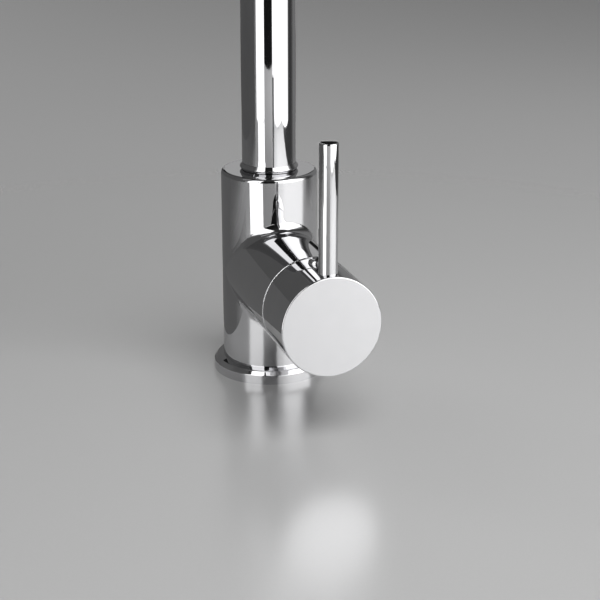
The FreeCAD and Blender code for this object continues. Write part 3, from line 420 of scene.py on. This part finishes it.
def lathe(mesh, profile, steps=96, closed=False):
    """Spin a line of (radius, height) points once round the Z axis."""
    points = [mesh.verts.new((radius, 0, height)) for radius, height in profile]
    pairs = list(zip(points, points[1:]))
    if closed:
        pairs.append((points[-1], points[0]))
    edges = [mesh.edges.new(pair) for pair in pairs]
    bmesh.ops.spin(mesh, geom=points + edges, cent=(0, 0, 0), axis=(0, 0, 1), angle=math.tau,
                   steps=steps, use_merge=True)
    bmesh.ops.remove_doubles(mesh, verts=mesh.verts, dist=TOUCH)


def arc(centre_radius, centre_height, radius, start, end, steps):
    """Points of an arc in a lathe profile, with angles in degrees from the outward direction."""
    angles = [math.radians(start + (end - start) * step / steps) for step in range(steps + 1)]
    return [(centre_radius + radius * math.cos(a), centre_height + radius * math.sin(a)) for a in angles]


trial_ring = bmesh.new()
lathe(trial_ring, arc(0.01, 0, 0.001, 0, 90, 8))
print("a quarter round turned on the lathe has", len(trial_ring.faces), "faces")
trial_ring.free()

# %% [markdown]
# ## Threads and ends
# A screw thread is the same spin with a lift of one pitch per turn: the zigzag then meets itself one
# tooth higher, and merging the doubles closes it into one helix. Ends are cut flat with bisect_plane
# and filled, which leaves the run-out that a real cut thread has.

# %% Threads and ends
THREAD_DEPTH = 0.61
ROOT_ENDS = 0.25
CREST_STARTS = 0.56
CREST_ENDS = 0.69


def thread(mesh, crest, pitch, bottom, top, steps=36):
    """Cut an outside thread between two heights, open at both ends."""
    root = crest - THREAD_DEPTH * pitch
    start = bottom - 2 * pitch
    zigzag = []
    for tooth in range(math.ceil((top - start) / pitch) + 1):
        foot = start + tooth * pitch
        zigzag += [(root, foot), (root, foot + ROOT_ENDS * pitch), (crest, foot + CREST_STARTS * pitch),
                   (crest, foot + CREST_ENDS * pitch)]
    points = [mesh.verts.new((radius, 0, height)) for radius, height in zigzag]
    edges = [mesh.edges.new(pair) for pair in zip(points, points[1:])]
    bmesh.ops.spin(mesh, geom=points + edges, cent=(0, 0, 0), axis=(0, 0, 1), angle=math.tau,
                   dvec=(0, 0, pitch / steps), steps=steps)
    bmesh.ops.remove_doubles(mesh, verts=mesh.verts, dist=TOUCH)
    for level, keep_above in ((bottom, True), (top, False)):
        everything = mesh.verts[:] + mesh.edges[:] + mesh.faces[:]
        bmesh.ops.bisect_plane(mesh, geom=everything, dist=1e-8, plane_co=(0, 0, level),
                               plane_no=(0, 0, 1), clear_inner=keep_above, clear_outer=not keep_above)


def rims_at(mesh, height):
    """The open edges that lie at one height."""
    return [e for e in mesh.edges if len(e.link_faces) < 2
            and all(abs(v.co.z - height) < TOUCH for v in e.verts)]


def close_end(mesh, height):
    """Fill the flat end at one height, round any hole in it."""
    bmesh.ops.triangle_fill(mesh, use_beauty=True, edges=rims_at(mesh, height), normal=(0, 0, 1))


def taper(mesh, height, factor, drop):
    """Draw the open rim at one height inwards and down, as a chamfer."""
    drawn = bmesh.ops.extrude_edge_only(mesh, edges=rims_at(mesh, height))["geom"]
    tips = [item for item in drawn if isinstance(item, bmesh.types.BMVert)]
    bmesh.ops.scale(mesh, verts=tips, vec=(factor, factor, 1))
    bmesh.ops.translate(mesh, verts=tips, vec=(0, 0, -drop))


trial_thread = bmesh.new()
thread(trial_thread, 0.003, 0.001, 0, 0.005)
print("five turns of thread have", len(trial_thread.faces), "faces and", len(rims_at(trial_thread, 0)),
      "open edges at the foot")
trial_thread.free()

# %% [markdown]
# ## A finished piece takes the place of a solid
# Each new piece rides on the body of the solid that it stands for, and that solid is hidden. Its object
# stays at the origin, with its place in its mesh. The count of open edges tells at once whether a mesh
# was left open anywhere.

# %% Finished pieces
SHARP_ANGLE = math.radians(30)


def piece(name, mesh, finish, body, replaced):
    """Make a finished mesh into an object that rides on a body in place of a CAD node."""
    bmesh.ops.remove_doubles(mesh, verts=mesh.verts, dist=TOUCH)
    bmesh.ops.recalc_face_normals(mesh, faces=mesh.faces)
    open_edges = sum(1 for edge in mesh.edges if len(edge.link_faces) != 2)
    data = bpy.data.meshes.new(name)
    mesh.to_mesh(data)
    mesh.free()
    data.materials.append(finish.material)
    data.shade_smooth()
    data.set_sharp_from_angle(angle=SHARP_ANGLE)
    made = bpy.data.objects.new(name, data)
    scene.collection.objects.link(made)
    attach(made, body)
    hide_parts(replaced)
    print(name, "has", len(data.polygons), "faces and", open_edges, "open edges")


print("edges sharper than", round(math.degrees(SHARP_ANGLE)), "degrees stay sharp")

# %% [markdown]
# ## The lever
# The lever is a plain rod that screws into the handle cap with an M6 stud. Its top is faced on the
# lathe, very slightly crowned, and polishing has rounded its rim; in the photograph that rim is what
# makes the thin bright lines round a dark top. Stud and rod are one bar, so they are one mesh here.

# %% Lever rod
LEVER_X = 0.096
LEVER_SEAT = 0.0789
LEVER_TOP = 0.1448
LEVER_RADIUS = 0.0046
LEVER_RIM = 0.0008
LEVER_CROWN = 0.00012
LEVER_CHAMFER = 0.0003
CROWN_EDGE = 0.82
CROWN_STEPS = (0.6, 0.4, 0.2, 0)
BESIDE_EDGE = 0.0002
STUD_RADIUS = 0.003
STUD_FOOT = 0.0703
STUD_PITCH = 0.001
STUD_CHAMFER = 0.0004
STUD_TAPER = 0.85

mesh = bmesh.new()
thread(mesh, STUD_RADIUS, STUD_PITCH, STUD_FOOT + STUD_CHAMFER, LEVER_SEAT)
taper(mesh, STUD_FOOT + STUD_CHAMFER, STUD_TAPER, STUD_CHAMFER)
close_end(mesh, STUD_FOOT)
rim_centre = (LEVER_RADIUS - LEVER_RIM, LEVER_TOP - LEVER_CROWN - LEVER_RIM)
crown = [(LEVER_RADIUS * part, LEVER_TOP - LEVER_CROWN * (part / CROWN_EDGE) ** 2)
         for part in CROWN_STEPS]
wall_foot = LEVER_SEAT + LEVER_CHAMFER
side_heights = (wall_foot, wall_foot + BESIDE_EDGE, rim_centre[1] - BESIDE_EDGE)
side = [(LEVER_RADIUS, height) for height in side_heights]
lathe(mesh, [(LEVER_RADIUS - LEVER_CHAMFER, LEVER_SEAT)] + side
      + arc(*rim_centre, LEVER_RIM, 0, 90, 8) + crown, steps=128)
close_end(mesh, LEVER_SEAT)
bmesh.ops.translate(mesh, verts=mesh.verts, vec=(LEVER_X, 0, 0))
piece("lever", mesh, chrome, "handle", "lever_rod")

# %% [markdown]
# ## The base ring
# The ring covers the edge of the worktop hole. It is turned from brass bar, with an upright side, a
# shoulder and a sloped top. The edge between shoulder and top is softened by polishing, and mirrors
# the dark ceiling there as a hair-thin line between two bright bands. The CAD ring has that edge
# sharp, so this one is turned again with the round in its profile, and its gasket groove below.

# %% Base ring
RING_INNER = 0.02503
RING_OUTER = 0.0302
RING_SIDE = 0.0049
SHOULDER = (0.0284, 0.0070)
RING_TOP = 0.0076
GROOVE_INNER, GROOVE_OUTER = 0.0264, 0.0284
GROOVE_DEPTH = 0.0020
RING_ROUND = 0.0005
SHOULDER_ROUND = 0.0010
LEAD_SHARE = 0.3


def rounded(before, corner, after, radius, steps=5):
    """Points of a round of one radius that takes a corner off a lathe profile, and one on each side."""
    here, back, on = Vector(corner), Vector(before), Vector(after)
    inward = (back - here).normalized()
    outward = (on - here).normalized()
    opening = inward.angle(outward)
    centre = here + (inward + outward).normalized() * radius / math.sin(opening / 2)
    start = here + inward * radius / math.tan(opening / 2) - centre
    turn = start.angle_signed(here + outward * radius / math.tan(opening / 2) - centre)
    points = [centre + Matrix.Rotation(-turn * step / steps, 2) @ start for step in range(steps + 1)]
    lead = radius * LEAD_SHARE
    return [points[0] + inward * lead] + points + [points[-1] + outward * lead]


mesh = bmesh.new()
low_edge = rounded((RING_OUTER, 0), (RING_OUTER, RING_SIDE), SHOULDER, RING_ROUND)
high_edge = rounded((RING_OUTER, RING_SIDE), SHOULDER, (RING_INNER, RING_TOP), SHOULDER_ROUND)
bore_and_groove = [(RING_INNER, RING_TOP), (RING_INNER, 0), (GROOVE_INNER, 0),
                   (GROOVE_INNER, GROOVE_DEPTH), (GROOVE_OUTER, GROOVE_DEPTH), (GROOVE_OUTER, 0)]
profile = bore_and_groove + [(RING_OUTER, 0)] + low_edge + high_edge
lathe(mesh, [tuple(point) for point in profile], steps=192, closed=True)
piece("ring", mesh, chrome, "mixer", "base_ring")
print("shoulder edge at", [round(value * 1000, 2) for value in high_edge[3]], "mm")

# %% [markdown]
# ## Two socket screws
# A grub screw under the plug clamps the cap on its stem, and a smaller one in the back of the body
# keeps the spout in. Both are set screws with a hexagon socket, a thread that runs up to the face and
# a point that is cut to a cone. One function makes both, and a matrix lays the second one down.

# %% Socket screws
POINT_SHARE = 0.5
GRUB_SCREW = {"crest": 0.0025, "pitch": 0.0008, "length": 0.0055, "key_across": 0.0025,
              "key_depth": 0.0025, "point": 0.00125}
GRUB_FACE = (0.0795, 0, 0.0665)
LOCK_SCREW = {"crest": 0.002, "pitch": 0.0007, "key_across": 0.002, "key_depth": 0.002, "point": 0.001}
LOCK_HEIGHT = 0.089


def set_screw(crest, pitch, length, key_across, key_depth, point):
    """A socket set screw with its face at height 0 and its point below."""
    screw = bmesh.new()
    thread(screw, crest, pitch, point - length, 0)
    taper(screw, point - length, POINT_SHARE, point)
    close_end(screw, -length)
    socket = bmesh.ops.create_circle(screw, radius=key_across / math.sqrt(3), segments=6)["verts"]
    walls = [edge for edge in screw.edges if all(v in socket for v in edge.verts)]
    sunk = bmesh.ops.extrude_edge_only(screw, edges=walls)["geom"]
    floor_verts = [item for item in sunk if isinstance(item, bmesh.types.BMVert)]
    bmesh.ops.translate(screw, verts=floor_verts, vec=(0, 0, -key_depth))
    close_end(screw, -key_depth)
    close_end(screw, 0)
    return screw


mesh = set_screw(**GRUB_SCREW)
bmesh.ops.translate(mesh, verts=mesh.verts, vec=GRUB_FACE)
piece("cap_grub_screw", mesh, turned_finishes["grub_screw"], "handle", "grub_screw")

lock_low, lock_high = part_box("spout_lock_screw")
lock_length = lock_high[1] - lock_low[1]
mesh = set_screw(length=lock_length, **LOCK_SCREW)
laid_down = Matrix.Rotation(math.radians(-90), 4, "X")
upright_to_back = Matrix.Translation((0, lock_high[1], LOCK_HEIGHT)) @ laid_down
bmesh.ops.transform(mesh, matrix=upright_to_back, verts=mesh.verts)
piece("lock_screw", mesh, turned_finishes["spout_lock_screw"], "mixer",
      "spout_lock_screw")
print("lock screw is", round(lock_length * 1000, 2), "mm long")

# %% [markdown]
# ## Seals of the spout
# Two O-rings sit in the grooves of the brass ferrule. An O-ring is moulded in two halves, which leaves
# a hair-thin flash line round its outside; the profile has a tiny ridge there before it is spun.

# %% Spout seals
SEAL_HEIGHTS = (0.0945, 0.1005)
SEAL_CENTRE = 0.01095
SEAL_THICKNESS = 0.001
FLASH = 0.00003
FLASH_ANGLE = 12

mesh = bmesh.new()
for height in SEAL_HEIGHTS:
    section = arc(SEAL_CENTRE, height, SEAL_THICKNESS - FLASH, FLASH_ANGLE, 360 - FLASH_ANGLE, 20)
    section.append((SEAL_CENTRE + SEAL_THICKNESS - FLASH, height - FLASH))
    section.append((SEAL_CENTRE + SEAL_THICKNESS, height))
    section.append((SEAL_CENTRE + SEAL_THICKNESS - FLASH, height + FLASH))
    lathe(mesh, section, closed=True)
piece("spout_o_rings", mesh, slot_finishes["black_rubber"], "spout", "spout_seals")

# %% [markdown]
# ## The room that the chrome mirrors
# A chrome object is lit by what stands round it. In the photograph two tall soft lights left and right
# of the camera draw the white stripes, and darker walls between them draw the black bands. Here these
# are cards that stand on the stage, at the azimuths where the stripes need them. They cast no shadow
# and light no matt surface, and the camera never sees one directly.
#
# The worktop has a sheen, in which the cards would show as broad fans that the photograph hasn't got.
# So a card is clear for a ray that the camera sends to it by way of the worktop alone. Such a ray has
# bounced once and started on the worktop. Its start is where it hits the card plus its length back
# along it, which Light Path and Geometry tell. Only the way that a ray took counts, not where the
# camera stands, so the stripes stay where they belong in every view.

# %% Sheets of the stage
CARD_GREY = (0.02, 0.02, 0.02)
ON_WORKTOP = 0.0008


def seen_by_chrome(finish):
    """1 for a ray that comes from the mixer, 0 for one that the camera sends by way of the worktop."""
    length = finish.node("LightPath", output="Ray Length")
    bounces = finish.node("LightPath", output="Ray Depth")
    back = finish.node("NewGeometry", output="Incoming")
    start_height = finish.axes()[2] + length * finish.node("SeparateXYZ", output="Z", Vector=back)
    return (start_height > ON_WORKTOP).maths("MAXIMUM", bounces > 1.5)


def glowing(name, brightness, **sockets):
    """A nearly black finish that glows evenly by itself."""
    return Finish(name, CARD_GREY, 1.0, Emission_Color=(1, 1, 1, 1), Emission_Strength=brightness,
                  **sockets)


def staged(name, sheet, finish):
    """Make a sheet's mesh into an object of the stage, which isn't part of the mixer."""
    data = bpy.data.meshes.new(name)
    sheet.to_mesh(data)
    sheet.free()
    data.materials.append(finish.material)
    made = bpy.data.objects.new(name, data)
    scene.collection.objects.link(made)
    made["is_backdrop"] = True
    return made


def stand(name, sheet, finish):
    """Stage a sheet for reflections alone: it casts no shadow and lights no matt surface."""
    stood = staged(name, sheet, finish)
    stood.visible_camera = False
    stood.visible_diffuse = False
    stood.visible_shadow = False


print("a ray that starts below", ON_WORKTOP * 1000, "mm counts as one from the worktop")

# %% [markdown]
# A studio card is a flat board that faces the object, and its brightness falls off softly towards some
# of its edges. Here the lower edge of a card is drawn between two azimuths and extruded upwards, and
# where a soft edge is wanted the card fades out by transparency.

# %% Cards


def card(name, start, end, distance, bottom, top, brightness, fades=(0, 0), foot_fade=0,
         dim_side=None):
    """An upright card between two azimuths in degrees, facing the mixer, that only chrome can see."""
    half = math.radians(end - start) / 2
    middle = math.radians(start + end) / 2
    finish = glowing(name, brightness, Specular_IOR_Level=0)
    turned = finish.node("Mapping", Vector=finish.place(), Rotation=(0, 0, -middle))
    forward = finish.node("SeparateXYZ", output="X", Vector=turned)
    sideways = finish.node("SeparateXYZ", output="Y", Vector=turned)
    azimuth = sideways.maths("ARCTAN2", forward)
    cover = seen_by_chrome(finish)
    for side, fade in zip((-1, 1), fades):
        if fade:
            cover = cover * finish.spread(azimuth * side, half - math.radians(fade), half, 1, 0)
    if dim_side:
        reach_in, share = dim_side
        dimmed = finish.spread(azimuth, -half, math.radians(reach_in) - half, share, 1)
        finish.feed("Emission Color", dimmed)
    if foot_fade:
        cover = cover * finish.spread(finish.axes()[2], bottom, bottom + foot_fade)
    finish.feed("Alpha", cover)
    sheet = bmesh.new()
    reach = distance / math.cos(half)
    ends = [sheet.verts.new((reach * math.cos(middle + turn), reach * math.sin(middle + turn), bottom))
            for turn in (-half, half)]
    raised = bmesh.ops.extrude_edge_only(sheet, edges=[sheet.edges.new(ends)])["geom"]
    upper = [item for item in raised if isinstance(item, bmesh.types.BMVert)]
    bmesh.ops.translate(sheet, verts=upper, vec=(0, 0, top - bottom))
    stand(name, sheet, finish)
    print(name, "spans", end - start, "degrees at", distance, "m")


card("soft_light_left_low", -62, -31, 0.27, 0.002, 0.05, 1.9)
card("soft_light_left_foot", -61, -33.5, 0.40, 0.002, 0.05, 1.9)
card("soft_light_left", -67.2, -33.5, 0.40, 0.05, 0.8, 1.9)
card("soft_light_right", -0.5, 38, 0.6, 0.002, 1.2, 2.6, dim_side=(28, 0.65))
card("soft_light_right_far", 38, 76.5, 0.6, 0.002, 1.2, 2.6, fades=(0, 12))
card("dark_wall_front", -34, 2, 0.9, 0.0, 1.2, 0.0)
card("grey_flag_left", -200, -64, 0.12, 0.0, 0.1, 0.12, fades=(8, 60))
# Painted shade: this low dark card close to the foot stands for the mixer's own shade on the worktop
# beside it, as the chrome mirrors it.
card("painted_shade_near", -205, -72, 0.07, 0.0, 0.05, 0.12, fades=(8, 30))
card("grey_wall_left", -178, -72, 0.28, 0.0, 0.8, 0.09, fades=(4, 4), foot_fade=0.05)
card("dark_wall_right", 74, 112, 0.3, 0.0, 0.8, 0.05, fades=(10, 22), foot_fade=0.05)
card("grey_wall_right", 92, 150, 0.32, 0.0, 0.8, 0.2, fades=(4, 4), foot_fade=0.05)
card("pale_wall_back", 150, 178, 0.45, 0.10, 0.25, 0.44, fades=(2, 2), foot_fade=0.02)
card("dark_wall_back", 140, 186, 0.55, 0.0, 0.8, 0.0, fades=(4, 4), foot_fade=0.05)

# %% [markdown]
# ## The edge of the worktop
# To the right the worktop of the photograph ends, and beyond its edge the chrome sees the dark studio.
# A dark sheet just above the worktop stands for what is beyond. Only the chrome sees it, as with the
# cards, so the worktop itself can go on without an edge.

# %% Edge of the worktop
WORKTOP_EDGE = 0.44
EDGE_LOW = (-1.5, WORKTOP_EDGE)
EDGE_HIGH = (1.5, 1.6)
ABOVE_WORKTOP = 0.001

beyond = glowing("dark_beyond_edge", 0.04, Specular_IOR_Level=0)
beyond.feed("Alpha", seen_by_chrome(beyond))
sheet = bmesh.new()
bmesh.ops.create_grid(sheet, x_segments=1, y_segments=1, size=0.5)
width, depth = (high - low for low, high in zip(EDGE_LOW, EDGE_HIGH))
bmesh.ops.scale(sheet, verts=sheet.verts, vec=(width, depth, 1))
middle = [(low + high) / 2 for low, high in zip(EDGE_LOW, EDGE_HIGH)]
bmesh.ops.translate(sheet, verts=sheet.verts, vec=(*middle, ABOVE_WORKTOP))
stand("dark_beyond_edge", sheet, beyond)
print("the worktop ends for the chrome", WORKTOP_EDGE, "m to the right")

# %% [markdown]
# ## The dark ceiling
# Faces that look up, such as the top of the housing and the bend of the spout, mirror what hangs over
# the mixer, and in the photograph that is dark. A large round sheet stands for it. A lower one would
# cut through the taller cards.

# %% Dark ceiling
CEILING_RADIUS = 1.6
CEILING_HEIGHT = 1.3

sheet = bmesh.new()
bmesh.ops.create_circle(sheet, cap_ends=True, radius=CEILING_RADIUS, segments=48)
bmesh.ops.translate(sheet, verts=sheet.verts, vec=(0, 0, CEILING_HEIGHT))
overhead_grey = glowing("dark_ceiling", 0.03)
overhead_grey.feed("Alpha", seen_by_chrome(overhead_grey))
stand("dark_ceiling", sheet, overhead_grey)
print("the ceiling is", CEILING_HEIGHT, "m up")

# %% [markdown]
# ## The worktop
# The worktop is a plain pale sheet with a soft sheen, so the chrome's foot mirrors in it a little. It
# could be a board with an edge, but then a horizon would show in the views from low down. So it goes on
# far beyond the view. Its sheen fades out with the distance from the mixer, because farther away it
# would mirror the room in bands, and still farther it passes into the room's brightness, as in haze.

# %% Worktop
WORKTOP = (0.74, 0.74, 0.74)
WORKTOP_SHADE = (0.71, 0.71, 0.71)
WORKTOP_RADIUS = 12
SHEEN_ENDS = (0.36, 0.95)
SHEEN = 0.32
ROOM_DIM = 0.15
ROOM_PALE = 0.33
FAR_ENDS = (1.6, 7.0)


def looked_at(tree):
    """1 for rays that the eye follows straight, through glass or by way of a mirror, else 0."""
    path = tree.nodes.new("ShaderNodeLightPath")
    followed = Shade(tree, path.outputs["Is Camera Ray"]) + Shade(tree, path.outputs["Is Glossy Ray"])
    return followed + Shade(tree, path.outputs["Is Transmission Ray"]) > 0.5


worktop_finish = Finish("worktop", WORKTOP, 0.25, 0.3, Emission_Strength=1.0)
speckle = worktop_finish.noise(700, detail=3.0)
worktop_finish.tint(speckle, WORKTOP_SHADE)
from_mixer = worktop_finish.length(worktop_finish.place())
matt = worktop_finish.spread(from_mixer, *SHEEN_ENDS)
worktop_finish.feed("Roughness", 0.22 + 0.06 * speckle + 0.7 * matt)
worktop_finish.feed("Metallic", SHEEN * (1 - matt))
haze = worktop_finish.spread(from_mixer, *FAR_ENDS, 0, ROOM_PALE - WORKTOP[0] * ROOM_DIM)
worktop_finish.feed("Emission Color", haze * looked_at(worktop_finish.tree))
sheet = bmesh.new()
bmesh.ops.create_circle(sheet, cap_ends=True, radius=WORKTOP_RADIUS, segments=96)
staged("worktop", sheet, worktop_finish)
print("the worktop reaches", WORKTOP_RADIUS, "m out and is matt from", SHEEN_ENDS[1], "m on")

# %% [markdown]
# ## Two lamps
# One large lamp overhead lights the worktop and lays the soft shadow, and a second one far to the left
# lifts that side a little. Large round lamps give soft shadows without a visible edge. Both stay out of
# the mirror, because the photograph shows no lamp in the housing's top.

# %% Lamps


def soft_lamp(name, size, energy, place):
    """A round lamp that looks straight down and that neither the camera nor a mirror sees."""
    data = bpy.data.lights.new(name, "AREA")
    data.shape = "DISK"
    data.size = size
    data.energy = energy
    lamp = bpy.data.objects.new(name, data)
    lamp.location = place
    lamp.visible_glossy = False
    lamp.visible_camera = False
    scene.collection.objects.link(lamp)
    print("lamp", name, "is", size, "m across and gives", energy, "W")


soft_lamp("overhead", 1.1, 13, (0.7, 0.2, 1.1))
soft_lamp("far_left", 0.8, 6, (-1.5, -0.9, 1.4))

# %% [markdown]
# ## The world
# The world lights everything dimly and evenly. Where it is looked at, it is paler, so that what shows
# beyond the worktop and in the gaps between the cards has the grey of the photograph.

# %% World
world = bpy.data.worlds.new("room")
world.use_nodes = True
tree = world.node_tree
background = tree.nodes["Background"]
background.inputs["Color"].default_value = (1, 1, 1, 1)
strength = ROOM_DIM + (ROOM_PALE - ROOM_DIM) * looked_at(tree)
tree.links.new(strength.socket, background.inputs["Strength"])
scene.world = world
print("the world lights with", ROOM_DIM, "and is seen as", ROOM_PALE)

# %% [markdown]
# ## Sizes
# The dressed model must fill the same box as the CAD model. The dressed box is worked out and printed.

# %% Finish
dressed_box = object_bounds()
dressed_rounded = [tuple(round(value, 4) for value in corner) for corner in dressed_box]
print("dressed box in metres:", dressed_rounded)
